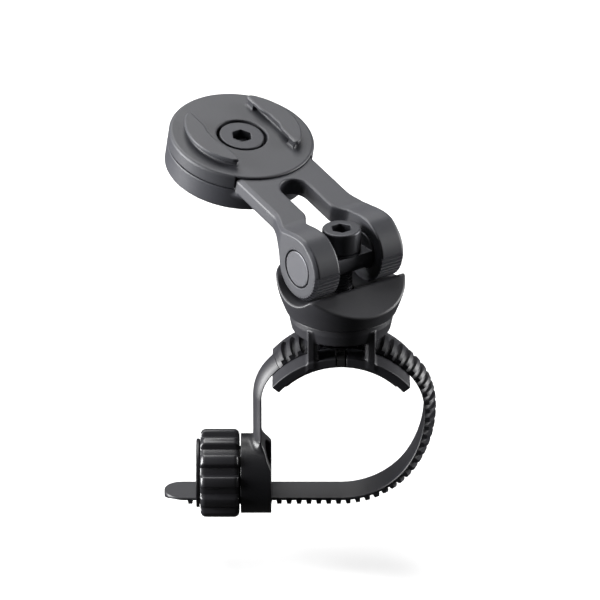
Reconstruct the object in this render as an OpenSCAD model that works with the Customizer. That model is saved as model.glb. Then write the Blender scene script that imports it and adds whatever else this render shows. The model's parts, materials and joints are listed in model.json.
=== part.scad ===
// Bicycle phone mount: a twist-lock head on a tilting fork arm, a swivelling saddle,
// and a cradle held on the handlebar by a ribbed band that a threaded knob draws tight.
// Origin on the handlebar's axis at the cradle's mid-width. +Y runs along the bar,
// +Z up the swivel axis. Millimetres.

/* [Handlebar] */
// Diameter of the handlebar that the band is closed on
bar_d = 35; // [34.5:0.1:35.5]

/* [Cradle] */
// Width of the cradle along the bar
cradle_w = 19; // [18.5:0.5:21]
// Angle from the swivel axis to each wing tip
wing_angle = 50; // [48:1:50]
// Thickness of the rubber pad
pad_t = 1; // [0.8:0.1:1.1]
// Thickness of the cradle's arch, pad included
arch_t = 2.4; // [2.3:0.05:2.5]
// Height of the swivel seam above the bar's axis
seam_z = 27.5; // [27.4:0.1:28]

/* [Band] */
// Width of the band
band_w = 8; // [7.6:0.1:8.2]
// Distance from one rib to the next
rib_pitch = 2.2; // [2:0.1:2.4]
// Thickness of a rib along the band
rib_w = 1.05; // [0.9:0.05:1.1]

/* [Buckle] */
// Radius over the knob's lobes
knob_r = 10; // [9.8:0.1:11]
// Length of the knob
knob_len = 8.4; // [8:0.1:8.6]
// Number of lobes round the knob
knob_lobes = 12; // [10:1:14]

/* [Swivel and hinge] */
// Turn of the hinge axis about the swivel axis, from +X
swivel_yaw = 36; // [0:1:90]
// Height of the hinge axis above the swivel seam
hinge_h = 12.9; // [12.8:0.1:13.2]
// Radius of the fork's bosses
boss_r = 7.3; // [7:0.1:7.4]
// Width of the fork over both bosses
fork_w = 24; // [23.5:0.5:25]

/* [Arm and head] */
// Distance from the hinge axis to the head's centre
arm_len = 39.8; // [39:0.2:44]
// Tilt of the arm above level
arm_tilt = 13.4; // [5:0.2:30]
// Diameter of the round head
head_d = 32.6; // [32:0.2:33]

/* [Hidden] */
$fn = 64;
eps = 0.01;

// Handlebar and arch
bar_r = bar_d / 2;
half_w = cradle_w / 2;
arch_r = bar_r + arch_t;          // outer face of the arch, where the band lies
wing_r = bar_r + 0.3;             // bare inner face of the wings
pad_r = bar_r + pad_t;            // floor of the pad's pocket
pad_angle = wing_angle - 5.5;
pad_half = half_w - 0.9;

// Tower and collar
post_in = 5.2;
post_out = 7.4;
post_y = 4.6;
collar_r = 11.4;
collar_neck_r = 10.9;
collar_low = seam_z - 4;
collar_rim = 1.35;
seam_gap = 0.15;
tab_half = 1;

// Swivel bolt and nut, M5
bolt_r = 2.5;
bolt_clear_r = 2.7;
nut_bore_r = 2.55;
nut_flat = 8;
nut_h = 2.7;
nut_z = collar_low + 0.1;
washer_r = 9;
washer_t = 0.5;

// Turntable
table_r = 12.1;
table_top_r = 14.3;
table_h = 8.5;
trough_r = 7.5;
slope = 30;                       // of the face on the side away from the head
slope_drop = 1.75;                // from the hinge axis square to the sloping face
back_h = 9.1;                     // level top on the head's side, above the swivel seam
ridge_r = 1;

// Hinge
hinge_z = seam_z + hinge_h;
barrel_r = 4.1;
barrel_bore_r = 4.15;
seat_h = 1.1;                     // flat on the barrel above the hinge axis
bolt_washer_t = 0.5;
bolt_head_r = 4.25;
bolt_head_h = 5;
bolt_len = 18;
head_low = hinge_z + seat_h + bolt_washer_t;
hex_flat = 4;

// Arm, in its own frame: x along the hinge, y towards the head, z square to the arm
fork_half = fork_w / 2;
gap_half = 5.7;
leg_top = 5.6;
leg_low = 1.3;
leg_half = 10;
slot_half = 3.5;
head_r = head_d / 2;
slot_end = arm_len - head_r - 1.4;
disc_low = -2.5;
disc_top = 2.6;
cap_low = 2.85;
cap_top = 6.2;
neck_in = 1.4;                    // how far the neck reaches in under the cap's rim
tooth_step = 7.6;
tooth_count = 18;
tooth_first = 169.6;

// Head
screw_r = 5.05;
screw_h = 2.8;
recess_r = 5.7;
screw_top = cap_top - 0.15;
screw_low = screw_top - screw_h;
lug_r = 13.1;
lug_chord = 7.65;
lug_bow = 0.7;
lug_h = 2.2;
lug_plate = 1;
lug_web_in = 0.9;
lug_foot = 6.9;
lug_end = 9.8;

// Band section: flat inner face, outer face round the knob's axis
band_half = band_w / 2;
core_depth = 4.2;                 // from the knob's axis to the band's inner face
core_r = 6.1;
core_t = core_r - core_depth;
rib_r = 6.9;
rib_t = rib_r - core_depth;
rib_root_r = 5.4;
knob_z = -(bar_r - core_depth);
rib_slant = atan(rib_pitch / (2 * PI * 6.5));
tail_end = -39.3;
last_rib = -33.6;
leave_a = -30;                    // where the band leaves the bar's circle, right side
meet_a = 90 - wing_angle;         // where it meets the arch
first_rib_a = 132;                // where the ribs stop, left side
left_x = -bar_r - 0.3;            // inner face of the upright stretch, left side

// Buckle
knob_x = -31.1;
knob_end = knob_x + knob_len;
house_x = -22.2;
house_end = -15.4;
house_r = 8.9;
house_bore_r = 7.3;
house_wall = 1.2;
guide_r = 6;
guide_flat = core_depth - 0.15;
stub_r = 4.6;
retainer_x = -32.05;
retainer_t = 0.8;
retainer_r = 7.7;
slot_side = band_half + 0.3;
landing_z = -3.4;
thread_root_r = 7.15;
thread_out_r = 7.6;
thread_crest_r = 6.35;

// A smooth step from 0 to 1
function ease(t) = t * t * (3 - 2 * t);
function steps(n) = [for (i = [0:n]) i / n];

// Radius change that joins the bar's circle to the arch's with two tangent arcs
arc_gap = arch_r - bar_r;
arc_turn = 1 - cos(meet_a - leave_a);
arc_shift = (4 * arc_gap + sqrt(16 * arc_gap * arc_gap - 8 * arc_turn * arc_gap * arc_gap)) / (4 * arc_turn);
low_arc_r = bar_r + arc_shift;
high_arc_r = arch_r - arc_shift;
low_c = [-arc_shift * cos(leave_a), -arc_shift * sin(leave_a)];
high_c = [arc_shift * cos(meet_a), arc_shift * sin(meet_a)];
join_a = atan2(high_c[1] - low_c[1], high_c[0] - low_c[0]);

// Left side: from the wing tip down to the upright stretch
wing_a = 90 + wing_angle;
left_arc_r = (-left_x + arch_r * cos(wing_a)) / (1 + cos(wing_a));
left_c = [left_x + left_arc_r, arch_r * sin(wing_a) - left_arc_r * sin(wing_a)];

// ---------- helpers ----------

// Lays a plan drawn with x across and y up along the bar, so that y becomes +Z
module along_bar(w) {
    rotate([90, 0, 0])
        translate([0, 0, -w / 2])
            linear_extrude(w)
                children();
}

// Pie slice of a disc between two angles
module slice(r, a, b) {
    n = 8;
    reach = r * 2;
    intersection() {
        circle(r);
        polygon(concat([[0, 0]], [for (t = steps(n)) reach * [cos(a + t * (b - a)), sin(a + t * (b - a))]]));
    }
}

module sector(r_in, r_out, a, b) {
    difference() {
        slice(r_out, a, b);
        circle(r_in);
    }
}

module hex_hole(flat, depth) {
    cylinder(r = flat / 2 / cos(30), h = depth, $fn = 6);
}

// Turns the arm's own frame into the part's frame
module arm_frame() {
    translate([0, 0, hinge_z])
        rotate([0, 0, swivel_yaw])
            rotate([arm_tilt, 0, 0])
                children();
}

module hinge_frame() {
    translate([0, 0, hinge_z])
        rotate([0, 0, swivel_yaw])
            children();
}

// Section of the tail as a plan: x across the band, y outwards from the inner face
module core_section() {
    intersection() {
        translate([0, -core_depth])
            circle(core_r);
        translate([-band_half, 0])
            square([band_w, core_r]);
    }
}

module rib_section() {
    side = band_half - 0.04;
    intersection() {
        translate([0, -core_depth])
            difference() {
                circle(rib_r);
                circle(rib_root_r);
            }
        translate([-side, 0.25])
            square([2 * side, rib_r]);
    }
}

// Side view of a stretch of band round an arc, and of the ribs on it
module band_arc(c, r, a, b) {
    translate(c)
        sector(r, r + core_t, a, b);
}

// Block inside the band that joins two stretches where they meet end to end
module band_joint(c, r, a) {
    margin = 0.3;
    translate(c)
        rotate([0, 0, a])
            translate([r + margin, -margin])
                square([core_t - 2 * margin, 2 * margin]);
}

module arc_ribs(c, r, a, b) {
    turn = rib_pitch / (r + core_t) * 180 / PI;
    translate(c)
        for (t = [a:turn:b])
            rotate([0, 0, t])
                translate([r + core_t / 2, -rib_w / 2])
                    square([rib_t - core_t / 2, rib_w]);
}

// ---------- cradle ----------

module wings() {
    difference() {
        along_bar(cradle_w)
            sector(wing_r, arch_r, 90 - wing_angle, 90 + wing_angle);
        along_bar(2 * pad_half)
            sector(bar_r - 2, pad_r, 90 - pad_angle, 90 + pad_angle);
    }
}

module posts() {
    base_z = 16;
    difference() {
        for (side = [-1, 1])
            for (end = [-1, 1])
                translate([side > 0 ? post_in : -post_out, end > 0 ? post_y : -half_w, base_z])
                    cube([post_out - post_in, half_w - post_y, seam_z - collar_rim - seam_gap - base_z]);
        along_bar(cradle_w + 2)
            circle(pad_r + 0.5);
    }
}

module collar() {
    rotate_extrude($fn = 96)
        polygon([
            [bolt_clear_r, collar_low],
            [collar_neck_r, collar_low],
            [collar_r, seam_z - seam_gap - collar_rim],
            [collar_r, seam_z - seam_gap],
            [bolt_clear_r, seam_z - seam_gap]]);
}

module cradle_bracket() {
    color("#26272b")
        difference() {
            union() {
                wings();
                posts();
                collar();
            }
            // pocket for the nut, open towards the band
            translate([0, 0, collar_low - 1])
                hex_hole(nut_flat + 0.1, nut_z + nut_h - collar_low + 1);
            // recess for the swivel washer
            translate([0, 0, seam_z - seam_gap - washer_t + 0.3])
                cylinder(r = washer_r + 0.05, h = 1);
            // slots for the pad's tabs
            for (end = [-1, 1])
                translate([-tab_half, end > 0 ? post_y : -half_w - 1, bar_r - 1])
                    cube([2 * tab_half, half_w - post_y + 1, arch_t + 1.2]);
        }
}

module cradle_pad() {
    tab_in = tab_half - 0.05;
    color("#18181a")
        union() {
            along_bar(2 * pad_half - 0.1)
                sector(bar_r, pad_r, 90 - pad_angle + 0.2, 90 + pad_angle - 0.2);
            for (end = [-1, 1])
                translate([-tab_in, end > 0 ? post_y + 0.1 : -half_w + 0.1, bar_r + 0.1])
                    cube([2 * tab_in, half_w - post_y - 0.2, arch_t - 0.2]);
        }
}

module clamp_nut() {
    color("silver")
        translate([0, 0, nut_z])
            difference() {
                hex_hole(nut_flat, nut_h);
                translate([0, 0, -1])
                    cylinder(r = nut_bore_r, h = nut_h + 2);
            }
}

module swivel_washer() {
    color("#3a3a3e")
        translate([0, 0, seam_z + seam_gap - washer_t])
            difference() {
                cylinder(r = washer_r, h = washer_t);
                translate([0, 0, -1])
                    cylinder(r = bolt_clear_r + 0.3, h = washer_t + 2);
            }
}

// ---------- band ----------

// Stands the tail's section up so that it runs from x0 to x1 with the flat face on top
module tail_section(x0, x1) {
    translate([x0, 0, -bar_r])
        rotate([0, 90, 0])
            rotate([0, 0, 90])
                mirror([0, 1, 0])
                    linear_extrude(x1 - x0)
                        children();
}

module tail_ribs() {
    count = floor(-last_rib / rib_pitch);
    for (i = [0:count])
        translate([last_rib + i * rib_pitch, 0, 0])
            rotate([0, 0, -rib_slant])
                tail_section(-rib_w / 2, rib_w / 2)
                    rib_section();
}

module tail() {
    intersection() {
        tail_section(tail_end, 0)
            core_section();
        translate([0, 0, -bar_r - 5])
            linear_extrude(10)
                union() {
                    translate([tail_end + band_half, -band_half - 1])
                        square([-tail_end, band_w + 2]);
                    translate([tail_end + band_half, 0])
                        circle(band_half);
                }
    }
}

module toothed_band() {
    color("#1d1e21")
        union() {
            tail();
            tail_ribs();
            along_bar(band_w)
                union() {
                    band_arc([0, 0], bar_r, -90, leave_a);
                    band_arc(low_c, low_arc_r, leave_a, join_a);
                    band_arc(high_c, high_arc_r, join_a, meet_a);
                    band_arc([0, 0], arch_r, meet_a, first_rib_a);
                    band_joint([0, 0], bar_r, -90);
                    band_joint([0, 0], bar_r, leave_a);
                    band_joint(low_c, low_arc_r, join_a);
                    band_joint([0, 0], arch_r, meet_a);
                    arc_ribs([0, 0], bar_r, -88, leave_a);
                    arc_ribs(low_c, low_arc_r, leave_a + 3, join_a);
                    arc_ribs(high_c, high_arc_r, join_a + 4, meet_a);
                    arc_ribs([0, 0], arch_r, meet_a + 3, first_rib_a - 1);
                }
        }
}

module smooth_band() {
    color("#242528")
        along_bar(band_w)
            union() {
                band_arc([0, 0], arch_r, first_rib_a, wing_a);
                band_arc(left_c, left_arc_r, wing_a, 180);
                band_joint([0, 0], arch_r, wing_a);
                band_joint(left_c, left_arc_r, 180);
                translate([left_x - core_t, landing_z])
                    square([core_t, left_c[1] - landing_z]);
            }
}

// ---------- turntable and hinge ----------

module table_body() {
    n = 8;
    low = seam_z + seam_gap;
    rotate_extrude($fn = 128)
        polygon(concat(
            [[bolt_clear_r, seam_z + table_h + 1], [bolt_clear_r, low]],
            [for (t = steps(n)) [table_r + (table_top_r - table_r) * sin(90 * t), low + t * table_h]],
            [[table_top_r, seam_z + table_h + 1]]));
}

// Outline of one side of the saddle's cut, x out from the hinge axis and y up: a rounded ridge between
// the trough and a face that falls by an angle, then that face
function saddle_side(fall, drop) =
    let (
        reach = 20,
        n = 6,
        along = sqrt(pow(trough_r + ridge_r, 2) - pow(drop + ridge_r, 2)),
        up = -drop - ridge_r,
        c = [along * cos(fall) + up * sin(fall), up * cos(fall) - along * sin(fall)],
        first = atan2(-c[1], -c[0]))
    concat(
        [for (t = steps(n)) let (a = first + t * (90 - fall - first)) c + ridge_r * [cos(a), sin(a)]],
        [[reach, -reach * tan(fall) - drop / cos(fall)], [reach, reach]]);

// What is cut away above the saddle, the trough itself left out: x towards the head
module saddle_cut() {
    head_side = saddle_side(0, hinge_h - back_h);
    bar_side = saddle_side(slope, slope_drop);
    polygon(concat(head_side, [for (i = [len(bar_side) - 1:-1:0]) [-bar_side[i][0], bar_side[i][1]]]));
}

module turntable() {
    color("#202124")
        difference() {
            table_body();
            hinge_frame() {
                rotate([90, 0, 90])
                    translate([0, 0, -30])
                        linear_extrude(60)
                            saddle_cut();
                rotate([0, 90, 0])
                    translate([0, 0, -30])
                        cylinder(r = trough_r, h = 60, $fn = 96);
            }
        }
}

module cross_barrel() {
    chamfer = 0.3;
    half = fork_half - 0.05;
    color("#5a5b60")
        hinge_frame()
            difference() {
                rotate([0, 90, 0])
                    rotate_extrude()
                        polygon([[0, -half], [barrel_r - chamfer, -half], [barrel_r, -half + chamfer],
                            [barrel_r, half - chamfer], [barrel_r - chamfer, half], [0, half]]);
                translate([-gap_half + 0.3, -barrel_r - 1, seat_h])
                    cube([2 * gap_half - 0.6, 2 * barrel_r + 2, barrel_r]);
                translate([0, 0, -barrel_r - 1])
                    cylinder(r = bolt_clear_r, h = 2 * barrel_r + 2);
            }
}

module bolt_washer() {
    color("#8a8b90")
        translate([0, 0, hinge_z + seat_h])
            difference() {
                cylinder(r = bolt_head_r, h = bolt_washer_t);
                translate([0, 0, -1])
                    cylinder(r = bolt_clear_r, h = bolt_washer_t + 2);
            }
}

module clamp_bolt() {
    edge = 0.35;
    color("#2c2d31")
        difference() {
            rotate_extrude()
                polygon([
                    [0, head_low - bolt_len],
                    [bolt_r - 0.5, head_low - bolt_len],
                    [bolt_r, head_low - bolt_len + 0.5],
                    [bolt_r, head_low],
                    [bolt_head_r, head_low],
                    [bolt_head_r, head_low + bolt_head_h - edge],
                    [bolt_head_r - edge, head_low + bolt_head_h],
                    [0, head_low + bolt_head_h]]);
            translate([0, 0, head_low + bolt_head_h - 2.5])
                hex_hole(hex_flat, 3);
        }
}

// ---------- arm ----------

// Side view of one leg: x towards the head, y square to the arm
module leg_side() {
    fillet = 5;
    under = 2.5;
    top_y = leg_top + fillet;
    top_x = sqrt(pow(boss_r + fillet, 2) - top_y * top_y);
    low_y = leg_low - under;
    low_x = sqrt(pow(boss_r + under, 2) - low_y * low_y);
    top_k = boss_r / (boss_r + fillet);
    low_k = boss_r / (boss_r + under);
    difference() {
        union() {
            circle(boss_r, $fn = 96);
            polygon([[0, leg_low], [arm_len - head_r + neck_in, leg_low],
                [arm_len - head_r + neck_in, leg_top], [0, leg_top]]);
            polygon([[0, 0], [low_x * low_k, low_y * low_k], [low_x, leg_low], [low_x, leg_top],
                [top_x, leg_top], [top_x * top_k, top_y * top_k]]);
        }
        translate([top_x, top_y])
            circle(fillet);
        translate([low_x, low_y])
            circle(under);
    }
}

// Outline of the fork from above, and the gap between its legs
module fork_outline() {
    waist_y = 13.2;
    boss_y = 7;
    n = 8;
    right = [for (t = steps(n)) [fork_half + (leg_half - fork_half) * ease(t), boss_y + t * (waist_y - boss_y)]];
    edge = concat([[fork_half, -boss_r - 1]], right, [[leg_half, arm_len]]);
    polygon(concat(edge, [for (i = [len(edge) - 1:-1:0]) [-edge[i][0], edge[i][1]]]));
}

module fork_gap() {
    wide_y = 6;
    narrow_y = 10.5;
    n = 6;
    right = [for (t = steps(n)) [gap_half + (slot_half - gap_half) * ease(t), wide_y + t * (narrow_y - wide_y)]];
    edge = concat([[gap_half, -boss_r - 2]], right, [[slot_half, slot_end - slot_half]]);
    polygon(concat(edge, [for (i = [len(edge) - 1:-1:0]) [-edge[i][0], edge[i][1]]]));
    translate([0, slot_end - slot_half])
        circle(slot_half);
}

// Grip teeth: V grooves along the underside of both bosses
module boss_teeth() {
    depth = 0.3;
    half = 0.3;
    for (i = [0:tooth_count - 1])
        rotate([tooth_first + i * tooth_step, 0, 0])
            translate([-fork_half - 1, 0, 0])
                rotate([90, 0, 90])
                    linear_extrude(fork_w + 2)
                        polygon([[boss_r - depth, 0], [boss_r + half, -half - 0.1], [boss_r + half, half + 0.1]]);
}

module fork_arm() {
    color("#2b2c30")
        arm_frame()
            difference() {
                union() {
                    difference() {
                        intersection() {
                            rotate([90, 0, 90])
                                translate([0, 0, -fork_half])
                                    linear_extrude(fork_w)
                                        leg_side();
                            translate([0, 0, -20])
                                linear_extrude(40)
                                    fork_outline();
                        }
                        // the cap's disc sits inside the neck
                        translate([0, arm_len, disc_top])
                            cylinder(r = head_r - neck_in, h = 10, $fn = 128);
                    }
                    translate([0, arm_len, disc_low])
                        cylinder(r = head_r, h = disc_top - disc_low, $fn = 128);
                }
                translate([0, 0, -20])
                    linear_extrude(40)
                        fork_gap();
                rotate([0, 90, 0])
                    translate([0, 0, -fork_half - 1])
                        cylinder(r = barrel_bore_r, h = fork_w + 2);
                translate([0, arm_len, disc_low - 1])
                    cylinder(r = bolt_r, h = 10);
                boss_teeth();
            }
}

// ---------- head ----------

module lug_outline(r, chord, end) {
    n = 6;
    bow_y = 4.4;
    rise = [for (t = steps(n)) [chord + lug_bow * ease(t), -bow_y + t * (bow_y - 1)]];
    edge = concat([[chord, -end]], rise, [for (i = [n:-1:0]) [rise[i][0], -rise[i][1]]], [[chord, end]]);
    intersection() {
        polygon(concat(edge, [[r + 1, end], [r + 1, -end]]));
        circle(r, $fn = 128);
    }
}

module lugs() {
    for (side = [0, 1])
        mirror([side, 0, 0]) {
            translate([0, 0, lug_h - lug_plate])
                linear_extrude(lug_plate)
                    lug_outline(lug_r, lug_chord, lug_end);
            difference() {
                translate([0, 0, -0.3])
                    linear_extrude(lug_h - lug_plate + 0.4)
                        lug_outline(lug_r - lug_web_in, lug_chord, lug_end);
                translate([lug_chord - 1, -lug_foot, 0])
                    cube([2.1, 2 * lug_foot, lug_h - lug_plate]);
            }
        }
}

module head_cap() {
    spigot = 0.7;
    color("#2e2f33")
        arm_frame()
            translate([0, arm_len, 0])
                difference() {
                    union() {
                        translate([0, 0, disc_top])
                            cylinder(r = head_r - neck_in - 0.15, h = 1, $fn = 128);
                        translate([0, 0, cap_low])
                            cylinder(r = head_r, h = cap_top - cap_low - spigot, $fn = 128);
                        translate([0, 0, cap_top - spigot])
                            rotate_extrude($fn = 128)
                                polygon([[0, -eps], [head_r, -eps], [head_r, spigot * 0.3],
                                    [head_r - 0.2, spigot * 0.72], [head_r - spigot, spigot], [0, spigot]]);
                        translate([0, 0, cap_top])
                            lugs();
                    }
                    // notch for the arm's neck
                    difference() {
                        translate([-leg_half - 0.1, -head_r - 1, disc_top - 1])
                            cube([2 * leg_half + 0.2, head_r, leg_top + 1.05 - disc_top]);
                        translate([0, 0, disc_top - 2])
                            cylinder(r = head_r - neck_in - 0.15, h = 12, $fn = 128);
                    }
                    translate([0, 0, screw_low])
                        cylinder(r = recess_r, h = 10);
                    cylinder(r = bolt_clear_r, h = 10);
                }
}

module head_screw() {
    edge = 0.25;
    color("#1f2023")
        arm_frame()
            translate([0, arm_len, 0])
                difference() {
                    rotate_extrude()
                        polygon([
                            [0, disc_low + 0.5],
                            [bolt_r - 0.45, disc_low + 0.5],
                            [bolt_r - 0.05, disc_low + 0.9],
                            [bolt_r - 0.05, screw_low],
                            [screw_r, screw_low],
                            [screw_r, screw_top - edge],
                            [screw_r - edge, screw_top],
                            [0, screw_top]]);
                    translate([0, 0, screw_top - 2])
                        hex_hole(hex_flat, 3);
                }
}

// ---------- buckle ----------

// Turns a plan with x across the bar and y up into a solid of rotation about the knob's axis
module on_knob_axis(x) {
    translate([x, 0, knob_z])
        rotate([0, 90, 0])
            children();
}

// The guide that the band's inner face slides on, inside the knob
module guide(r, x0, x1) {
    intersection() {
        on_knob_axis(x0)
            cylinder(r = r, h = x1 - x0);
        translate([x0 - 1, -10, knob_z - guide_flat])
            cube([x1 - x0 + 2, 20, 20]);
    }
}

// Foot that joins the upright stretch of the band to the housing, seen along the bar
module landing_side() {
    fillet = 1.6;
    low = knob_z + house_r - 1.2;
    difference() {
        translate([left_x - core_t - fillet, low])
            square([core_t + 2 * fillet, landing_z - low]);
        translate([left_x - core_t - fillet, landing_z])
            circle(fillet);
        translate([left_x + fillet, landing_z])
            circle(fillet);
    }
}

module buckle_housing() {
    color("#17181a")
        difference() {
            union() {
                difference() {
                    union() {
                        on_knob_axis(house_x)
                            cylinder(r = house_r, h = house_end - house_x, $fn = 96);
                        along_bar(2 * band_half)
                            landing_side();
                    }
                    on_knob_axis(house_x + house_wall)
                        cylinder(r = house_bore_r, h = 20);
                }
                guide(guide_r, knob_x - 0.15, house_x + house_wall + 1);
                guide(stub_r, retainer_x, knob_x);
            }
            along_bar(2 * house_r + 2)
                circle(bar_r + 0.2, $fn = 180);
            translate([house_x - 1, -slot_side, knob_z - rib_r - 0.3])
                cube([house_wall + 3, 2 * slot_side, rib_r + 0.3 - guide_flat]);
            translate([house_x, -slot_side, knob_z - rib_r - 0.3])
                cube([12, 2 * slot_side, 2]);
        }
}

module knob_retainer() {
    color("#17181a")
        difference() {
            on_knob_axis(retainer_x)
                cylinder(r = retainer_r, h = retainer_t);
            guide(stub_r, retainer_x - 1, knob_x);
            translate([retainer_x - 1, -slot_side, knob_z - retainer_r - 1])
                cube([3, 2 * slot_side, retainer_r + 1 - guide_flat]);
        }
}

module knob() {
    lobe_r = 2.3;
    valley_r = knob_r - 1.25;
    round_end = 1.3;
    n = 6;
    color("#141416")
        intersection() {
            on_knob_axis(knob_x)
                linear_extrude(knob_len)
                    difference() {
                        union() {
                            circle(valley_r);
                            for (i = [0:knob_lobes - 1])
                                rotate([0, 0, (i + 0.5) * 360 / knob_lobes])
                                    translate([knob_r - lobe_r, 0])
                                        circle(lobe_r, $fn = 32);
                        }
                        circle(thread_out_r);
                    }
            on_knob_axis(knob_x)
                rotate_extrude($fn = 96)
                    polygon(concat(
                        [[0, 0]],
                        [for (t = steps(n)) [knob_r - round_end * (1 - sin(90 * t)), round_end * (1 - cos(90 * t))]],
                        [for (t = steps(n)) [knob_r - round_end * (1 - cos(90 * t)), knob_len - round_end * (1 - sin(90 * t))]],
                        [[0, knob_len]]));
        }
}

// Helical ridge whose turns run in the gaps between the tail's ribs
module thread_ridge() {
    per_turn = 24;
    turns = 3;
    x0 = last_rib + 1.5 * rib_pitch;
    root = 0.45;
    crest = 0.3;
    section = [[thread_root_r + 0.2, -root], [thread_crest_r, -crest], [thread_crest_r, crest], [thread_root_r + 0.2, root]];
    rings = turns * per_turn;
    points = [for (i = [0:rings]) for (s = section)
        let (a = i * 360 / per_turn - 90, x = x0 + i * rib_pitch / per_turn + s[1])
            [x, s[0] * cos(a), s[0] * sin(a)]];
    sides = [for (i = [0:rings - 1]) for (k = [0:3])
        [i * 4 + k, (i + 1) * 4 + k, (i + 1) * 4 + (k + 1) % 4, i * 4 + (k + 1) % 4]];
    last = rings * 4;
    translate([0, 0, knob_z])
        polyhedron(points, concat(sides, [[0, 1, 2, 3]], [[last + 3, last + 2, last + 1, last]]));
}

module knob_thread() {
    color("#222326")
        union() {
            on_knob_axis(knob_x + 0.3)
                difference() {
                    cylinder(r = thread_out_r, h = knob_len - 0.6);
                    translate([0, 0, -1])
                        cylinder(r = thread_root_r, h = knob_len + 2);
                }
            thread_ridge();
        }
}

cradle_bracket();
cradle_pad();
clamp_nut();
swivel_washer();
toothed_band();
smooth_band();
turntable();
cross_barrel();
bolt_washer();
clamp_bolt();
fork_arm();
head_cap();
head_screw();
buckle_housing();
knob_retainer();
knob();
knob_thread();
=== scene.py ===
"""Looks of the bicycle phone mount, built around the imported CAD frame.

Most visible pieces are the zero surface of a distance field: a function that is negative inside the piece
and gives roughly the distance to its surface. Fields work in millimetres in the piece's own frame, and
field_piece() turns their surface into a mesh in metres in the shared frame.
"""
import json
import math

import bpy
import numpy as np
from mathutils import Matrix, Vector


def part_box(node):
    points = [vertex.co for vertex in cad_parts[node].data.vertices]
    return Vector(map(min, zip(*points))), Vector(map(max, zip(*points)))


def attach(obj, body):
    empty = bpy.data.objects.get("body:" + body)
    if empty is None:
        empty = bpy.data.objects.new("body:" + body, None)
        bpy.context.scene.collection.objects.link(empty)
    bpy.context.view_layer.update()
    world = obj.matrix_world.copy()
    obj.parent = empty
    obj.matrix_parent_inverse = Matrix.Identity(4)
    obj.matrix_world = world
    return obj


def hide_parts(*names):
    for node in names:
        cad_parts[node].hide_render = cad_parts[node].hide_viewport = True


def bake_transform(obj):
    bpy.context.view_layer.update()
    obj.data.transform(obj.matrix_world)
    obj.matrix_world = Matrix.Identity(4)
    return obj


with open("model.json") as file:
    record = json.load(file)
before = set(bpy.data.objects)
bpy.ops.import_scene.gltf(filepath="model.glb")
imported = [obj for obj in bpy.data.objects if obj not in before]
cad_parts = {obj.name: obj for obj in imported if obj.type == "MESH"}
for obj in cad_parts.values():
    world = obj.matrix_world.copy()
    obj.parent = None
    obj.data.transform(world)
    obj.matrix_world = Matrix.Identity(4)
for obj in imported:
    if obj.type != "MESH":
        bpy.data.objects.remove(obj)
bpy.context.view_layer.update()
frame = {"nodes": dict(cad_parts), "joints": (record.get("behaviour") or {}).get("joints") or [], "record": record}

MM = 0.001

# ---------- places, read from the frame ----------

joints = {j["name"]: j for j in frame["joints"]}
mounts = {m["name"]: m for m in frame["record"]["mounts"]}


def mm(values):
    return np.array(values, dtype=float) / MM


UP = np.array([0.0, 0.0, 1.0])
HINGE = mm(joints["arm_tilt"]["pos_m"])
SEAM_Z = mm(joints["swivel"]["pos_m"])[2]
KNOB_Z = mm(joints["knob_spin"]["pos_m"])[2]
BAR_R = mounts["handlebar_clamp"]["dims"]["r_mm"]

# The arm's own axes: across the fork, out towards the head, and square to the arm
ACROSS = np.array(joints["arm_tilt"]["axis"])
ARM_UP = np.array(mounts["phone_twist_lock"]["axis"])
ARM_OUT = np.cross(ARM_UP, ACROSS)
LOCK = mm(mounts["phone_twist_lock"]["pos_m"]) - HINGE
ARM_LEN = LOCK @ ARM_OUT
CAP_TOP = LOCK @ ARM_UP
SADDLE_OUT = np.cross(UP, ACROSS)

# Screws: M5, with 4 mm keys
BOLT_R = 2.5
BOLT_CLEAR_R = 2.7
KEY = 4.0

# Half of the gap between collar and saddle at the swivel seam
SEAM_GAP = 0.15

ROW_AXES = np.eye(3)
ARM_AXES = np.stack([ACROSS, ARM_OUT, ARM_UP], axis=1)
SADDLE_AXES = np.stack([ACROSS, SADDLE_OUT, UP], axis=1)


# ---------- distance fields ----------

def length(*parts):
    return np.sqrt(sum(p * p for p in parts))


def both(a, b, r=0.0):
    """What lies in a and in b, with the edge between them rounded to radius r."""
    return np.minimum(np.maximum(a, b), -r) + length(np.maximum(a + r, 0), np.maximum(b + r, 0))


def either(a, b, r=0.0):
    """What lies in a or in b, with a fillet of radius r between them."""
    return -both(-a, -b, r)


def chamfered(a, b, leg, r):
    """What lies in a and in b, with a chamfer on the edge between them whose own edges are rounded."""
    return both(both(a, b, r), (a + b + leg) * math.sqrt(0.5), r)


def between(value, low, high):
    return np.abs(value - (low + high) / 2) - (high - low) / 2


def ease(t):
    t = np.clip(t, 0, 1)
    return t * t * (3 - 2 * t)


def hexagon(x, y, flat):
    """Distance to a hexagon with two corners on x."""
    half = math.sqrt(3) / 2
    return np.maximum.reduce([np.abs(y), np.abs(half * x + y / 2), np.abs(half * x - y / 2)]) - flat / 2


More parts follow.
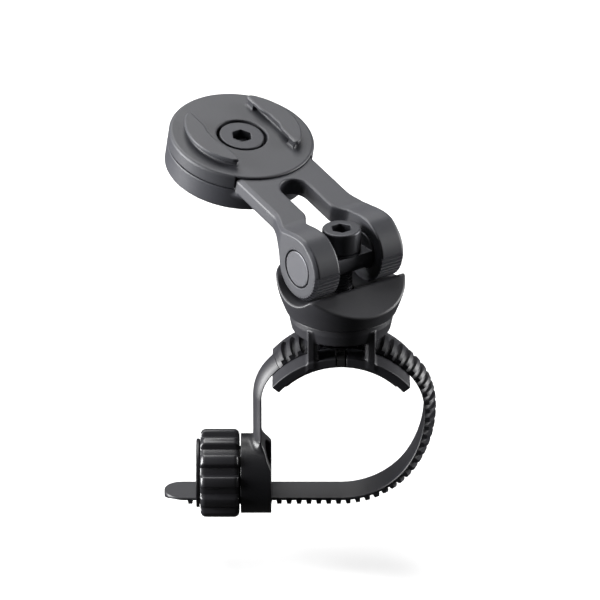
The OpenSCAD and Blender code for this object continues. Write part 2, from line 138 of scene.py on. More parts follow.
def net(field, low, high, cell):
    """Quads over the zero surface of a field: one point per grid cell that the surface crosses."""
    low, high = np.array(low, float), np.array(high, float)
    count = np.ceil((high - low) / cell).astype(int) + 1
    axes = [low[i] + cell * np.arange(count[i]) for i in range(3)]
    grid = np.stack(np.meshgrid(*axes, indexing="ij"), axis=-1)
    value = field(grid[..., 0], grid[..., 1], grid[..., 2])
    cells = tuple(count - 1)
    total, hits = np.zeros(cells + (3,)), np.zeros(cells)
    crossings = []
    for axis in range(3):
        u, v = [i for i in range(3) if i != axis]
        near = [slice(None)] * 3
        far = [slice(None)] * 3
        near[axis], far[axis] = slice(0, -1), slice(1, None)
        a, b = value[tuple(near)], value[tuple(far)]
        cross = (a < 0) != (b < 0)
        share = np.where(cross, a / np.where(cross, a - b, 1), 0)
        point = grid[tuple(near)].copy()
        point[..., axis] += share * cell
        for du in (0, 1):
            for dv in (0, 1):
                part = [slice(None)] * 3
                part[u] = slice(du, du + cells[u])
                part[v] = slice(dv, dv + cells[v])
                part = tuple(part)
                total += point[part] * cross[part][..., None]
                hits += cross[part]
        crossings.append((axis, u, v, cross, a < 0))
    used = hits > 0
    index = np.full(cells, -1)
    index[used] = np.arange(used.sum())
    points = total[used] / hits[used][:, None]
    quads = []
    for axis, u, v, cross, inside in crossings:
        where = np.argwhere(cross)
        low_ok = (where[:, u] > 0) & (where[:, v] > 0)
        where = where[low_ok & (where[:, u] < cells[u]) & (where[:, v] < cells[v])]
        corners = []
        for du, dv in ((1, 1), (0, 1), (0, 0), (1, 0)):
            at = where.copy()
            at[:, u] -= du
            at[:, v] -= dv
            corners.append(index[tuple(at.T)])
        quad = np.stack(corners, axis=1)
        flip = inside[tuple(where.T)] != (axis != 1)
        quad[flip] = quad[flip][:, ::-1]
        quads.append(quad)
    return points, np.concatenate(quads)


def slopes(field, p):
    """The field's gradient at points p, by small steps each way."""
    step = 0.02
    out = np.empty_like(p)
    for axis in range(3):
        ahead, behind = p.copy(), p.copy()
        ahead[:, axis] += step
        behind[:, axis] -= step
        out[:, axis] = (field(*ahead.T) - field(*behind.T)) / (2 * step)
    return out


def settle(field, p, cell):
    """Moves points along the field's slope onto its zero surface."""
    start = p.copy()
    for _ in range(4):
        g = slopes(field, p)
        move = field(*p.T)[:, None] * g / np.maximum((g * g).sum(axis=1), 0.1)[:, None]
        p = p - np.clip(move, -cell / 2, cell / 2)
    return start + np.clip(p - start, -cell, cell)


def mesh_piece(name, points, faces, normals=None, crease=None):
    """A mesh object from points in metres. Edges that turn by more than crease degrees stay crisp."""
    mesh = bpy.data.meshes.new(name)
    mesh.from_pydata([tuple(p) for p in points], [], [tuple(int(i) for i in f) for f in faces])
    mesh.shade_smooth()
    if crease is not None:
        mesh.set_sharp_from_angle(angle=math.radians(crease))
    if normals is not None:
        mesh.normals_split_custom_set_from_vertices([tuple(n) for n in normals])
    piece = bpy.data.objects.new(name, mesh)
    bpy.context.scene.collection.objects.link(piece)
    return piece


def field_piece(name, field, low, high, cell, axes=ROW_AXES, origin=(0, 0, 0)):
    """A mesh object of a field's zero surface, with the field's slope as its normals."""
    points, quads = net(field, low, high, cell)
    points = settle(field, points, cell)
    normals = slopes(field, points)
    normals /= np.maximum(np.linalg.norm(normals, axis=1), 1e-6)[:, None]
    return mesh_piece(name, (points @ axes.T + np.array(origin)) * MM, quads, normals @ axes.T)


def ring_faces(rings, per_ring, closed_ends=True):
    """Quads between successive rings of points, with an n-gon at each end."""
    i, k = np.meshgrid(np.arange(rings - 1), np.arange(per_ring), indexing="ij")
    after = (k + 1) % per_ring
    here, there = i * per_ring, (i + 1) * per_ring
    quads = np.stack([here + k, here + after, there + after, there + k], -1)
    faces = [tuple(q) for q in quads.reshape(-1, 4)]
    if closed_ends:
        faces.append(tuple(range(per_ring - 1, -1, -1)))
        faces.append(tuple(range((rings - 1) * per_ring, rings * per_ring)))
    return faces


def dress(piece, body, slot, material, *nodes):
    """Gives a piece its material and body, and hides the CAD nodes that it stands for. The slot argument is not
    used.
    """
    piece.data.materials.clear()
    piece.data.materials.append(material)
    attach(piece, body)
    if nodes:
        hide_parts(*nodes)


# ---------- materials ----------

def moulded(name, base, rough, grain=0.12, grain_depth=0.25, spread=0.15, coat=0.0, metallic=0.0):
    """A dark moulded or blasted surface: fine grain in the bump, soft patches in roughness and colour.
    grain is the size of a grain in millimetres."""
    material = bpy.data.materials.new(name)
    material.use_nodes = True
    nodes, links = material.node_tree.nodes, material.node_tree.links
    shader = nodes["Principled BSDF"]
    shader.inputs["Metallic"].default_value = metallic
    shader.inputs["Coat Weight"].default_value = coat
    shader.inputs["Coat Roughness"].default_value = 0.12
    place = nodes.new("ShaderNodeTexCoord")
    fine = nodes.new("ShaderNodeTexNoise")
    fine.inputs["Scale"].default_value = 1 / (grain * MM)
    fine.inputs["Detail"].default_value = 3
    fine.inputs["Roughness"].default_value = 0.6
    patch = nodes.new("ShaderNodeTexNoise")
    patch.inputs["Scale"].default_value = 1 / (9 * MM)
    patch.inputs["Detail"].default_value = 4
    for noise in (fine, patch):
        links.new(place.outputs["Object"], noise.inputs["Vector"])
    bump = nodes.new("ShaderNodeBump")
    bump.inputs["Strength"].default_value = grain_depth
    bump.inputs["Distance"].default_value = 0.03 * MM
    links.new(fine.outputs["Fac"], bump.inputs["Height"])
    links.new(bump.outputs["Normal"], shader.inputs["Normal"])
    tone = nodes.new("ShaderNodeMix")
    tone.data_type = "RGBA"
    dark = [c * (1 - spread) for c in base]
    light = [c * (1 + spread) for c in base]
    tone.inputs["A"].default_value = (*dark, 1)
    tone.inputs["B"].default_value = (*light, 1)
    mixed = nodes.new("ShaderNodeMath")
    mixed.operation = "MULTIPLY_ADD"
    mixed.inputs[1].default_value = 0.5
    links.new(fine.outputs["Fac"], mixed.inputs[0])
    half = nodes.new("ShaderNodeMath")
    half.operation = "MULTIPLY"
    half.inputs[1].default_value = 0.5
    links.new(patch.outputs["Fac"], half.inputs[0])
    links.new(half.outputs["Value"], mixed.inputs[2])
    links.new(mixed.outputs["Value"], tone.inputs["Factor"])
    links.new(tone.outputs["Result"], shader.inputs["Base Color"])
    gloss = nodes.new("ShaderNodeMapRange")
    gloss.inputs["To Min"].default_value = rough - 0.06
    gloss.inputs["To Max"].default_value = rough + 0.06
    links.new(patch.outputs["Fac"], gloss.inputs["Value"])
    links.new(gloss.outputs["Result"], shader.inputs["Roughness"])
    return material


ARM_METAL = moulded("arm_metal", (0.036, 0.037, 0.044), 0.5, grain=0.1, grain_depth=0.22, spread=0.12)
CAP_PLASTIC = moulded("cap_plastic", (0.036, 0.037, 0.043), 0.52, grain=0.14, grain_depth=0.4)
CRADLE_PLASTIC = moulded("cradle_plastic", (0.024, 0.024, 0.028), 0.48, grain=0.16, grain_depth=0.3)
BAND_PLASTIC = moulded("band_plastic", (0.021, 0.021, 0.025), 0.44, grain=0.2, grain_depth=0.15)
PAD_RUBBER = moulded("pad_rubber", (0.01, 0.01, 0.011), 0.75, grain=0.25, grain_depth=0.5)
BUCKLE_PLASTIC = moulded("buckle_plastic", (0.01, 0.01, 0.012), 0.38, grain=0.2, grain_depth=0.15)
KNOB_PLASTIC = moulded("knob_plastic", (0.022, 0.022, 0.025), 0.32, grain=0.25, grain_depth=0.1, coat=0.15)
BOLT_BLACK = moulded("bolt_black", (0.045, 0.046, 0.052), 0.42, grain=0.08, grain_depth=0.12, metallic=0.5)
BARREL_METAL = moulded("barrel_metal", (0.09, 0.091, 0.1), 0.42, grain=0.1, grain_depth=0.12, metallic=0.6)
STEEL = moulded("steel", (0.45, 0.45, 0.47), 0.35, grain=0.1, grain_depth=0.15, metallic=1.0)
WASHER_PLASTIC = moulded("washer_plastic", (0.05, 0.05, 0.055), 0.6, grain=0.2)


# ---------- fork arm ----------

FORK_HALF = 12.0
GAP_HALF = 5.7
BOSS_R = 7.3
BARREL_R = 4.1
LEG_LOW, LEG_TOP = 1.3, 5.6
LEG_HALF = 10.0
SLOT_HALF = 3.5
HEAD_R = 16.3
SLOT_END = ARM_LEN - HEAD_R - 1.4
DISC_LOW, DISC_TOP = -2.5, 2.6
NECK_IN = 1.4                     # how far the neck reaches in under the cap's rim
HEEL = 3.2                        # fillet between boss and leg
WAIST_FROM, WAIST_RUN = 6.6, 6.6  # where the outside narrows from the bosses to the legs
GAP_FROM, GAP_RUN = 6.0, 4.5      # where the gap narrows to the slot
TOOTH_DEPTH = 0.3
NECK_FILLET = 1.8                 # under the neck, where it meets the head's disc
TEETH, TOOTH_FIRST, TOOTH_STEP = 18, 169.6, 7.6
TEETH_FROM = TOOTH_FIRST - TOOTH_STEP / 2
TEETH_TO = TOOTH_FIRST + (TEETH - 0.5) * TOOTH_STEP


def boss_radius(y, z):
    """The bosses are a little smaller where the strip of grip teeth lies on them."""
    turn = np.degrees(np.arctan2(z, y)) % 360
    on_teeth = (turn > TEETH_FROM) & (turn < TEETH_TO)
    return np.where(on_teeth, BOSS_R - TOOTH_DEPTH, BOSS_R)


def arm_field(x, y, z):
    leg = both(between(z, LEG_LOW, LEG_TOP), between(y, 0, ARM_LEN))
    side = either(length(y, z) - boss_radius(y, z), leg, HEEL)
    half = FORK_HALF + (LEG_HALF - FORK_HALF) * ease((y - WAIST_FROM) / WAIST_RUN)
    leg_bevel = 0.75 - 0.5 * ease(x / 4) * ease((y - 7) / 6)
    solid = chamfered(side, np.abs(x) - half, leg_bevel, 0.15)
    slot_y = SLOT_END - SLOT_HALF
    gap_half = GAP_HALF + (SLOT_HALF - GAP_HALF) * ease((y - GAP_FROM) / GAP_RUN)
    gap = np.where(y < slot_y, np.abs(x) - gap_half, length(x, y - slot_y) - SLOT_HALF)
    solid = both(solid, -gap, 0.4)
    from_head = length(x, y - ARM_LEN)
    seat = np.maximum(from_head - (HEAD_R - NECK_IN), DISC_TOP - z)
    solid = np.maximum(solid, -seat)
    disc = both(from_head - HEAD_R, between(z, DISC_LOW, DISC_TOP), 0.3)
    fillet = NECK_FILLET * np.clip((DISC_TOP - 0.2 - z) / 1.2, 0, 1)
    solid = either(solid, disc, fillet)
    solid = both(solid, BOLT_R + 0.1 - from_head, 0.2)
    return both(solid, BARREL_R + 0.22 - length(y, z), 0.12)


def make_arm():
    return field_piece("fork_arm_body", arm_field, (-17, -8, -8), (17, ARM_LEN + 17, 8.1), 0.28, ARM_AXES, HINGE)


def make_grip_teeth(name, x_near, x_far):
    """A strip of V grooves round the underside of one boss."""
    groove = 0.2 / BOSS_R
    turns, outer = [math.radians(TEETH_FROM)], [BOSS_R]
    for k in range(TEETH):
        middle = math.radians(TOOTH_FIRST + k * TOOTH_STEP)
        turns += [middle - groove, middle, middle + groove]
        outer += [BOSS_R, BOSS_R - TOOTH_DEPTH, BOSS_R]
    turns.append(math.radians(TEETH_TO))
    outer.append(BOSS_R)
    edge = 0.7 * np.sign(x_far - x_near)
    rows = [(x_near, 0.75), (x_near, 1.1), (x_far, 1.1), (x_far, 0.02), (x_near + edge, 0.02)]
    points = []
    for turn, r in zip(turns, outer):
        for x, sink in rows:
            points.append((x, (r - sink) * math.cos(turn), (r - sink) * math.sin(turn)))
    points = np.array(points) @ ARM_AXES.T + HINGE
    faces = ring_faces(len(turns), len(rows))
    if x_near > x_far:
        faces = [tuple(reversed(f)) for f in faces]
    return mesh_piece(name, points * MM, faces, crease=20)


# ---------- head ----------

LUG_R, LUG_CHORD, LUG_BOW, LUG_END = 13.1, 7.65, 0.75, 9.8
LUG_H, LUG_PLATE = 2.2, 1.0
LUG_FOOT = 6.9                    # half length of the hollow under each lug
CAP_SKIRT = CAP_TOP - 2.85
RECESS_R, RECESS_H = 5.7, 3.1
SCREW_R, SCREW_H = 5.05, 2.8
SCREW_SINK = 0.15


def lug_outline(x, y, outer_r, chord, corner):
    """Both lugs seen from above: segments of a disc whose straight edges bow outwards in the middle."""
    inner = chord + LUG_BOW * (1 - ease((np.abs(y) - 1.2) / 3.4))
    shape = both(length(x, y) - outer_r, inner - np.abs(x), corner)
    return both(shape, np.abs(y) - LUG_END, corner)


def cap_field(x, y, z):
    """The round cap, with z up from its top face."""
    r = length(x, y)
    rim = both(r - HEAD_R, z, 0.75)
    solid = both(rim, -CAP_SKIRT - z, 0.2)
    plate = both(lug_outline(x, y, LUG_R, LUG_CHORD, 0.55), between(z, LUG_H - LUG_PLATE, LUG_H), 0.28)
    web = np.maximum(lug_outline(x, y, LUG_R - 1.0, LUG_CHORD, 0.4), between(z, -1, LUG_H - 0.4))
    hollow = both(between(np.abs(x), LUG_CHORD - 2, LUG_CHORD + 1.3), np.abs(y) - LUG_FOOT, 0.3)
    web = both(web, -hollow, 0.2)
    lug = either(plate, web, 0.25)
    solid = either(solid, lug, 0.45)
    solid = both(solid, -np.maximum(r - RECESS_R, -RECESS_H - z), 0.3)
    solid = both(solid, BOLT_CLEAR_R - r)
    # The arm's neck reaches in under the rim here
    notch = np.maximum.reduce([np.abs(x) - (LEG_HALF + 0.15), y + 2, z + 0.5, HEAD_R - NECK_IN - 0.2 - r])
    return both(solid, -notch, 0.35)


def make_cap():
    origin = HINGE + ARM_LEN * ARM_OUT + CAP_TOP * ARM_UP
    return field_piece("head_cap_body", cap_field, (-17, -17, -4), (17, 17, 2.7), 0.24, ARM_AXES, origin)


def screw_field(x, y, z):
    """Low head screw, with z up from its top face."""
    r = length(x, y)
    head = both(r - SCREW_R, between(z, -SCREW_H, 0), 0.28)
    shank = both(r - (BOLT_R - 0.05), between(z, -8, -2), 0.3)
    socket = both(hexagon(x, y, KEY), -2.0 - z, 0.05)
    return both(either(head, shank, 0.2), -socket, 0.14)


def make_head_screw():
    origin = HINGE + ARM_LEN * ARM_OUT + (CAP_TOP - SCREW_SINK) * ARM_UP
    return field_piece("head_screw_body", screw_field, (-5.6, -5.6, -8.4), (5.6, 5.6, 0.5), 0.16, ARM_AXES, origin)


# ---------- saddle ----------

TABLE_LOW = SEAM_Z + SEAM_GAP - HINGE[2]
TABLE_R, TABLE_FLARE, TABLE_H = 12.1, 2.2, 8.5
TROUGH_R = 7.9
SLOPE = math.radians(30)
SLOPE_DROP = 1.55
BACK_TOP = SEAM_Z + 8.8 - HINGE[2]
SEAT_H = 1.1                      # flat on the barrel, above the hinge axis
BOLT_HEAD_LOW = 1.6
BOLT_HEAD_R, BOLT_HEAD_H = 4.25, 5
BOLT_LEN = 18


def table_field(x, y, z):
    """The saddle, with z up from the hinge axis and y out towards the head."""
    r = length(x, y)
    rise = np.clip((z - TABLE_LOW) / TABLE_H, 0, 1)
    side = r - (TABLE_R + TABLE_FLARE * np.sin(rise * math.pi / 2))
    face = np.where(y > 0, z - BACK_TOP, -math.sin(SLOPE) * y + math.cos(SLOPE) * z + SLOPE_DROP)
    top = both(face, TROUGH_R - length(y, z), 1.0)
    solid = both(side * 0.97, top, 0.5)
    solid = both(solid, TABLE_LOW - z, 0.25)
    return both(solid, BOLT_CLEAR_R + 0.05 - r, 0.15)


def barrel_field(x, y, z):
    solid = both(length(y, z) - BARREL_R, np.abs(x) - (FORK_HALF - 0.05), 0.25)
    flat = np.maximum(np.abs(x) - (GAP_HALF - 0.35), SEAT_H - z)
    solid = both(solid, -flat, 0.12)
    return both(solid, BOLT_CLEAR_R - length(x, y), 0.12)


def bolt_head_field(x, y, z):
    """The cap screw's head, with z up from the hinge axis."""
    r = length(x, y)
    head = both(r - BOLT_HEAD_R, between(z, BOLT_HEAD_LOW, BOLT_HEAD_LOW + BOLT_HEAD_H), 0.4)
    socket = both(hexagon(x, y, KEY), BOLT_HEAD_LOW + BOLT_HEAD_H / 2 - z, 0.05)
    return both(head, -socket, 0.16)


def make_bolt_shank():
    """The threaded shank: a helical ridge of 0.8 mm pitch on the part below the barrel."""
    pitch, around, per_turn = 0.8, 36, 8
    top, tip = BOLT_HEAD_LOW + 0.2, BOLT_HEAD_LOW - BOLT_LEN
    steps = int((top - tip) / pitch * per_turn)
    points = []
    for i in range(steps + 1):
        z = tip + (top - tip) * i / steps
        for k in range(around):
            turn = 2 * math.pi * k / around
            phase = (z / pitch - k / around) % 1
            groove = 0.4 * abs(2 * phase - 1) if z < -2 else 0
            chamfer = max(0, 0.45 - (z - tip))
            r = BOLT_R - groove - chamfer
            points.append((r * math.cos(turn), r * math.sin(turn), z))
    points = np.array(points) @ SADDLE_AXES.T + HINGE
    return mesh_piece("clamp_bolt_shank", points * MM, ring_faces(steps + 1, around))


def make_saddle():
    at_hinge = {"axes": SADDLE_AXES, "origin": HINGE}
    table = field_piece("turntable_body", table_field, (-15, -15, -13.4), (15, 15, -3.2), 0.27, **at_hinge)
    barrel = field_piece("cross_barrel_body", barrel_field, (-12.6, -4.6, -4.6), (12.6, 4.6, 4.6), 0.22,
                         **at_hinge)
    head = field_piece("clamp_bolt_head", bolt_head_field, (-4.7, -4.7, 1.2), (4.7, 4.7, 7), 0.15, **at_hinge)
    return table, barrel, head


# ---------- cradle ----------

HALF_W = 9.5
ARCH_R = BAR_R + 2.4
WING_R = BAR_R + 0.3              # bare inner face of the wings, beyond the pad
PAD_R = BAR_R + 1.0
WING = math.radians(50)
PAD_TURN = math.radians(44.5)
PAD_HALF = 8.6
PAD_PROUD = 0.3                   # rubber not yet pressed by the bar
COLLAR_LOW = SEAM_Z - 4.0
COLLAR_TOP = SEAM_Z - SEAM_GAP
COLLAR_NECK_R, COLLAR_FLARE, COLLAR_RIM = 10.9, 0.5, 1.35
POST_IN, POST_OUT, POST_Y = 5.2, 7.4, 4.6
NUT_FLAT, NUT_TOP = 8.1, 2.8      # pocket for the nut, up from the collar's underside
TAB_HALF, TAB_Y, TAB_TOP = 0.92, 4.7, 21   # the pad's two tabs, seen in slots in the arch


def cradle_field(x, y, z):
    r = length(x, z)
    beyond = np.abs(x) * math.cos(WING) - z * math.sin(WING)
    arch = both(both(between(r, WING_R, ARCH_R), np.abs(y) - HALF_W, 0.25), beyond, 0.3)
    pocket_end = np.abs(x) * math.cos(PAD_TURN) - z * math.sin(PAD_TURN)
    pocket = np.maximum.reduce([r - PAD_R, np.abs(y) - PAD_HALF, pocket_end])
    arch = np.maximum(arch, -pocket)
    foot = np.maximum(PAD_R + 0.3 - r, z - (SEAM_Z - 1.25))
    post = both(between(np.abs(x), POST_IN, POST_OUT), between(np.abs(y), POST_Y, HALF_W), 0.3)
    inner_bevel = (np.abs(y) - HALF_W + POST_IN - np.abs(x) + 0.7) * math.sqrt(0.5)
    post = both(post, inner_bevel, 0.12)
    post = np.maximum(post, foot)
    radius = length(x, y)
    up_neck = np.clip((z - COLLAR_LOW) / (COLLAR_TOP - COLLAR_RIM - COLLAR_LOW), 0, 1)
    cone = COLLAR_NECK_R + COLLAR_FLARE * up_neck
    collar = both(radius - cone, between(z, COLLAR_LOW, COLLAR_TOP), 0.22)
    solid = either(either(arch, post, 0.6), collar, 0.35)
    tab_slot = np.maximum.reduce([np.abs(x) - TAB_HALF - 0.2, TAB_Y - 0.3 - np.abs(y), z - TAB_TOP])
    solid = both(solid, -tab_slot, 0.12)
    solid = np.maximum(solid, -np.maximum(hexagon(x, y, NUT_FLAT), z - (COLLAR_LOW + NUT_TOP)))
    return np.maximum(solid, BOLT_CLEAR_R - radius)


def pad_field(x, y, z):
    r = length(x, z)
    end = np.abs(x) * math.cos(PAD_TURN) - z * math.sin(PAD_TURN)
    sheet = both(between(r, BAR_R - PAD_PROUD, PAD_R - 0.02), np.abs(y) - PAD_HALF + 0.05, 0.2)
    sheet = both(sheet, end + 0.06, 0.3)
    tab = both(both(np.abs(x) - TAB_HALF, between(r, BAR_R + 0.25, ARCH_R - 0.12), 0.15),
               between(np.abs(y), TAB_Y, HALF_W - 0.06), 0.15)
    return np.minimum(sheet, tab)


def make_cradle():
    bracket = field_piece("cradle_bracket_body", cradle_field, (-16, -12, 10.6), (16, 12, 27.8), 0.26)
    pad = field_piece("cradle_pad_body", pad_field, (-14, -10, 11.6), (14, 10, 20.4), 0.3)
    return bracket, pad


# ---------- band ----------

BAND_HALF = 4.0
CORE_R, RIB_R, CORE_DEPTH = 6.1, 6.9, 4.2
CORE_T = CORE_R - CORE_DEPTH
PITCH, RIB_W = 2.2, 1.05
TAIL_END, LAST_RIB = -39.3, -33.6
LEAVE, MEET, FIRST_RIB = -30.0, 40.0, 132.0   # angles round the bar, from +X
LEFT_X = -BAR_R - 0.05
LANDING_Z = -3.4
SLANT = PITCH / (2 * math.pi * 6.5)


def turned(r, degrees, centre=(0.0, 0.0)):
    a = math.radians(degrees)
    return np.array([centre[0] + r * math.cos(a), centre[1] + r * math.sin(a)])


def band_arcs():
    """Arcs that the band's inner face follows, each as centre, radius, first and last angle."""
    gap = ARCH_R - BAR_R
    spread = 1 - math.cos(math.radians(MEET - LEAVE))
    shift = (4 * gap + math.sqrt(16 * gap * gap - 8 * spread * gap * gap)) / (4 * spread)
    low_c, high_c = -turned(shift, LEAVE), turned(shift, MEET)
    join = math.degrees(math.atan2(*(high_c - low_c)[::-1]))
    return [((0, 0), BAR_R, -90, LEAVE), (low_c, BAR_R + shift, LEAVE, join), (high_c, ARCH_R - shift, join, MEET),
            ((0, 0), ARCH_R, MEET, FIRST_RIB)]


def left_arcs():
    """The smooth stretch on the left: over the wing's end, then down to the buckle."""
    wing = 90 + math.degrees(WING)
    r = (ARCH_R * math.cos(math.radians(wing)) - LEFT_X) / (1 + math.cos(math.radians(wing)))
    return [((0, 0), ARCH_R, FIRST_RIB, wing), (turned(ARCH_R - r, wing), r, wing, 180)]


def on_arcs(arcs, s, lead):
    """Place and outward direction on the band's inner face, s along its outer face: a straight lead if there
    is one, then the arcs, then straight down."""
    for centre, r, a, b in arcs:
        span = math.radians(b - a) * (r + CORE_T)
        if s < 0 and lead:
            return turned(r, a, centre) + np.array([s, 0]), turned(1, a)
        if s <= span:
            turn = a + math.degrees(s / (r + CORE_T))
            return turned(r, turn, centre), turned(1, turn)
        s -= span
    end = turned(arcs[-1][1], arcs[-1][3], arcs[-1][0])
    return end + np.array([0, -s]), turned(1, arcs[-1][3])


def arcs_length(arcs):
    return sum(math.radians(b - a) * (r + CORE_T) for _, r, a, b in arcs)


def band_section(core_r, half):
    """Points round the band's section: y across, h out from the inner face. The outer face is a crown."""
    across = 18
    corner = 0.16
    points = []
    for k in range(across + 1):
        y = -half + 2 * half * k / across
        h = max(math.sqrt(max(core_r ** 2 - y * y, 0)) - CORE_DEPTH, 0.2)
        if k in (0, across):
            h -= corner
        points.append((y, h))
    for y in (half, half - corner, 0, corner - half, -half):
        points.append((y, corner if abs(y) == half else 0))
    return points


def sweep_band(name, arcs, stations, radius_at, half_at, lead=False):
    points = []
    for s in stations:
        for y, h in band_section(radius_at(s), half_at(s)):
            place, out = on_arcs(arcs, s - SLANT * y, lead)
            points.append((place[0] + out[0] * h, y, place[1] + out[1] * h))
    per_ring = len(band_section(CORE_R, BAND_HALF))
    return mesh_piece(name, np.array(points) * MM, ring_faces(len(stations), per_ring), crease=38)


def make_toothed_band():
    """The ribbed band, from the tail's tongue round to the first rib on the left."""
    arcs = band_arcs()
    last = arcs_length(arcs)
    flank = 0.09
    ribs = [LAST_RIB + PITCH * k for k in range(int((last - 0.8 - LAST_RIB) / PITCH) + 1)]
    edges = [-flank, -flank / 3, flank / 3, flank]
    offsets = [-0.8] + [-RIB_W / 2 + e for e in edges] + [0] + [RIB_W / 2 + e for e in edges] + [0.8]
    tip = [TAIL_END + BAND_HALF * (1 - math.cos(math.radians(a))) for a in range(4, 90, 6)]
    stations = tip + [TAIL_END + BAND_HALF + 0.4] + [r + o for r in ribs for o in offsets] + [last]

    def radius_at(s):
        nearest = min(abs(s - r) for r in ribs)
        rise = float(ease((RIB_W / 2 + flank - nearest) / (2 * flank)))
        thin = 0.5 * float(ease((LAST_RIB - 1.4 - s) / 4))
        return CORE_R + (RIB_R - CORE_R) * rise - thin

    def half_at(s):
        inset = max(TAIL_END + BAND_HALF - s, 0)
        return math.sqrt(max(BAND_HALF ** 2 - inset ** 2, 0.05))

    return sweep_band("toothed_band_body", arcs, stations, radius_at, half_at, lead=True)


def make_smooth_band():
    arcs = left_arcs()
    bend = arcs_length(arcs)
    straight = turned(arcs[-1][1], 180, arcs[-1][0])[1] - LANDING_Z
    stations = list(np.linspace(0.02, bend + straight, 60))
    return sweep_band("smooth_band_body", arcs, stations, lambda s: CORE_R, lambda s: BAND_HALF)


# ---------- buckle ----------

KNOB_X0, KNOB_LEN, KNOB_R = -31.15, 8.65, 10.0
HOUSE_X0, HOUSE_X1, HOUSE_R = -22.2, -15.4, 8.9
HOUSE_BORE_R = 7.3
GUIDE_R, STUB_R = 6.0, 4.6
GUIDE_FLAT = CORE_DEPTH - 0.15    # the guide is cut flat here, clear of the band
TAIL_HALF = BAND_HALF + 0.3       # half width of the slot that the band runs through


def housing_field(x, y, z):
    w = z - KNOB_Z
    r = length(y, w)
    shell = both(r - HOUSE_R, between(x, HOUSE_X0, HOUSE_X1), 0.15)
    cavity = np.maximum(r - HOUSE_BORE_R, HOUSE_X0 + 1.2 - x)
    foot = both(both(length(LEFT_X + CORE_DEPTH - x, y) - CORE_R, x - LEFT_X, 0.1), np.abs(y) - BAND_HALF, 0.1)
    foot = np.maximum.reduce([foot, z - LANDING_Z, KNOB_Z + HOUSE_R - 2 - z])
    shell = np.maximum(either(shell, foot, 1.4), z - LANDING_Z)
    shell = both(shell, -cavity, 0.3)
    flat = -GUIDE_FLAT - w
    guide = np.maximum(both(r - GUIDE_R, flat, 0.2), between(x, KNOB_X0 - 0.15, HOUSE_X0 + 2.2))
    stub = np.maximum(both(r - STUB_R, flat, 0.2), between(x, KNOB_X0 - 0.93, KNOB_X0))
    solid = np.minimum(np.minimum(shell, guide), stub)
    solid = both(solid, BAR_R + 0.2 - length(x, z), 0.35)
    slot = np.maximum.reduce([np.abs(y) - TAIL_HALF, between(w, -RIB_R - 0.3, -GUIDE_FLAT), x - HOUSE_X0 - 3])
    return both(solid, -slot, 0.12)


def retainer_field(x, y, z):
    w = z - KNOB_Z
    r = length(y, w)
    ring = both(r - 7.7, between(x, KNOB_X0 - 0.95, KNOB_X0 - 0.15), 0.22)
    core = both(r - (STUB_R + 0.02), -GUIDE_FLAT - w)
    slot = both(np.abs(y) - TAIL_HALF, w + GUIDE_FLAT)
    return both(both(ring, -core, 0.05), -slot, 0.15)


def make_knob():
    """The lobed knob, as a skin round its axis with rounded ends and a straight bore."""
    lobes, around, depth, round_end, bore = 12, 24, 1.3, 1.2, 7.6
    ends = [math.radians(a) for a in range(0, 91, 15)]
    low = [(round_end * (1 - math.cos(a)), round_end * (1 - math.sin(a))) for a in ends]
    profile = low + [(KNOB_LEN - x, inset) for x, inset in reversed(low)]
    points = []
    for x, inset in [(0, None)] + profile + [(KNOB_LEN, None)]:
        for k in range(lobes * around):
            a = 2 * math.pi * (k / around + 0.5) / lobes
            off = min(k % around, around - k % around) / around
            outer = KNOB_R - 3 * off * off * (off < 0.2) - 0.12 * (off >= 0.2)
            outer -= (depth - 0.12) * float(ease((off - 0.2) / 0.14))
            r = bore if inset is None else outer - inset * (outer - bore - 0.2) / (KNOB_R - bore - 0.2)
            points.append((KNOB_X0 + x, r * math.sin(a), KNOB_Z + r * math.cos(a)))
    rings, per_ring = len(profile) + 2, lobes * around
    faces = ring_faces(rings, per_ring, closed_ends=False)
    faces += [tuple(reversed(f)) for f in bore_faces(rings, per_ring)]
    return mesh_piece("knob_body", np.array(points) * MM, faces, crease=50)


def bore_faces(rings, per_ring):
    """Quads that join the first ring straight to the last, for a bore."""
    last = (rings - 1) * per_ring
    return [(k, (k + 1) % per_ring, last + (k + 1) % per_ring, last + k) for k in range(per_ring)]


# ---------- assembly of the pieces ----------

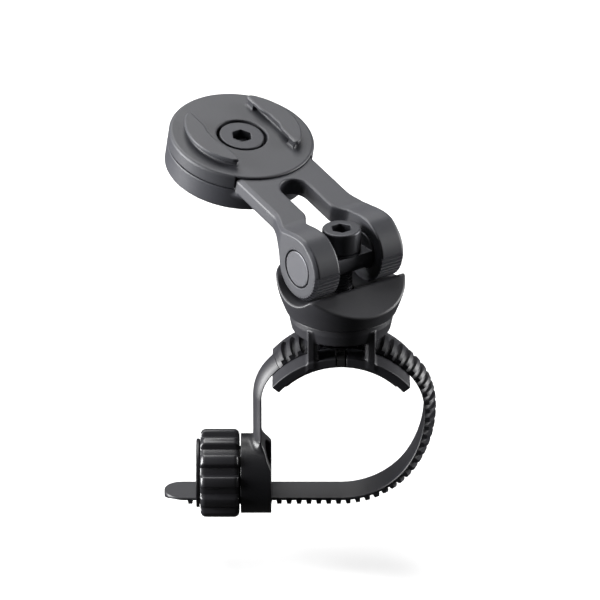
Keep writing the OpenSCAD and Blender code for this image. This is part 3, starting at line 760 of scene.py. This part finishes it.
def build():
    dress(make_arm(), "arm", "arm_metal", ARM_METAL, "fork_arm")
    for name, near, far in (("grip_teeth_near", -FORK_HALF, -GAP_HALF), ("grip_teeth_far", FORK_HALF, GAP_HALF)):
        dress(make_grip_teeth(name, near, far), "arm", "arm_metal", ARM_METAL)
    dress(make_cap(), "arm", "cap_plastic", CAP_PLASTIC, "head_cap")
    dress(make_head_screw(), "arm", "bolt_black", BOLT_BLACK, "head_screw")

    table, barrel, bolt_head = make_saddle()
    dress(table, "saddle", "cradle_plastic", CRADLE_PLASTIC, "turntable")
    dress(barrel, "saddle", "barrel_metal", BARREL_METAL, "cross_barrel")
    dress(bolt_head, "saddle", "bolt_black", BOLT_BLACK, "clamp_bolt")
    dress(make_bolt_shank(), "saddle", "bolt_black", BOLT_BLACK, "clamp_bolt")

    bracket, pad = make_cradle()
    dress(bracket, "cradle", "cradle_plastic", CRADLE_PLASTIC, "cradle_bracket")
    dress(pad, "cradle", "pad_rubber", PAD_RUBBER, "cradle_pad")
    dress(make_toothed_band(), "cradle", "band_plastic", BAND_PLASTIC, "toothed_band")

    smooth = make_smooth_band()
    smooth.data.materials.append(BAND_PLASTIC)
    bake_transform(smooth)
    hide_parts("smooth_band")

    house = field_piece("buckle_housing_body", housing_field, (-32.4, -9.3, -22.6), (-14.8, 9.3, -3.0), 0.24)
    dress(house, "buckle", "buckle_plastic", BUCKLE_PLASTIC, "buckle_housing")
    ring = field_piece("knob_retainer_ring", retainer_field, (-32.6, -8.1, -21.4), (-30.8, 8.1, -5.2), 0.2)
    dress(ring, "buckle", "buckle_plastic", BUCKLE_PLASTIC, "knob_retainer")
    dress(make_knob(), "dial", "knob_plastic", KNOB_PLASTIC, "knob")

    kept = {"clamp_nut": STEEL, "bolt_washer": BOLT_BLACK, "swivel_washer": WASHER_PLASTIC,
            "knob_thread": KNOB_PLASTIC}
    for node, material in kept.items():
        slots = frame["nodes"][node].data.materials
        slots.clear()
        slots.append(material)


# ---------- stage ----------

def area_light(name, place, aim, size, power, size_y=None):
    lamp = bpy.data.lights.new(name, "AREA")
    lamp.shape = "RECTANGLE"
    lamp.size, lamp.size_y = size, size_y or size
    lamp.energy = power
    holder = bpy.data.objects.new(name, lamp)
    holder.location = place
    away = np.array(place) - np.array(aim)
    holder.rotation_euler = Vector(away).to_track_quat("Z", "Y").to_euler()
    bpy.context.scene.collection.objects.link(holder)


def make_stage():
    below_knob, half = 0.009, 6.0
    floor_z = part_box("knob")[0][2] - below_knob
    corners = [(x, y, floor_z) for x, y in ((-half, -half), (half, -half), (half, half), (-half, half))]
    floor = mesh_piece("floor", corners, [(0, 1, 2, 3)])
    paper = bpy.data.materials.new("floor_paper")
    paper.use_nodes = True
    shader = paper.node_tree.nodes["Principled BSDF"]
    shader.inputs["Base Color"].default_value = (0.8, 0.8, 0.8, 1)
    shader.inputs["Roughness"].default_value = 0.9
    shader.inputs["Specular IOR Level"].default_value = 0.0
    shader.inputs["Emission Color"].default_value = (1, 1, 1, 1)
    shader.inputs["Emission Strength"].default_value = 0.1
    floor.data.materials.append(paper)
    floor.visible_glossy = False
    floor.visible_diffuse = False

    world = bpy.data.worlds.new("studio")
    world.use_nodes = True
    world.node_tree.nodes["Background"].inputs["Color"].default_value = (1, 1, 1, 1)
    world.node_tree.nodes["Background"].inputs["Strength"].default_value = 0.035
    bpy.context.scene.world = world
    aim = (-0.009, 0.0, 0.03)
    area_light("left_box", (-0.52, -0.03, 0.08), aim, 0.3, 12.0, 0.5)
    area_light("right_box", (0.48, 0.14, 0.06), aim, 0.25, 5.5, 0.5)
    area_light("top_box", (-0.14, 0.28, 0.58), aim, 0.5, 5.2)
    view = bpy.context.scene.view_settings
    view.view_transform = "Standard"
    view.look = "None"


def make_camera():
    """A long lens at the usual product angle: 26 degrees above level, square to the band's loop."""
    elevation, distance, focal = math.radians(26), 1.102, 301.92
    aim = np.array([-0.00903, 0, 0.02955])
    lens = bpy.data.cameras.new("camera")
    lens.sensor_width = 36
    lens.lens = focal
    camera = bpy.data.objects.new("camera", lens)
    back = np.array([0, -math.cos(elevation), math.sin(elevation)])
    camera.location = aim + distance * back
    camera.rotation_euler = (math.pi / 2 - elevation, 0, 0)
    bpy.context.scene.collection.objects.link(camera)
    bpy.context.scene.camera = camera


make_camera()
make_stage()
build()
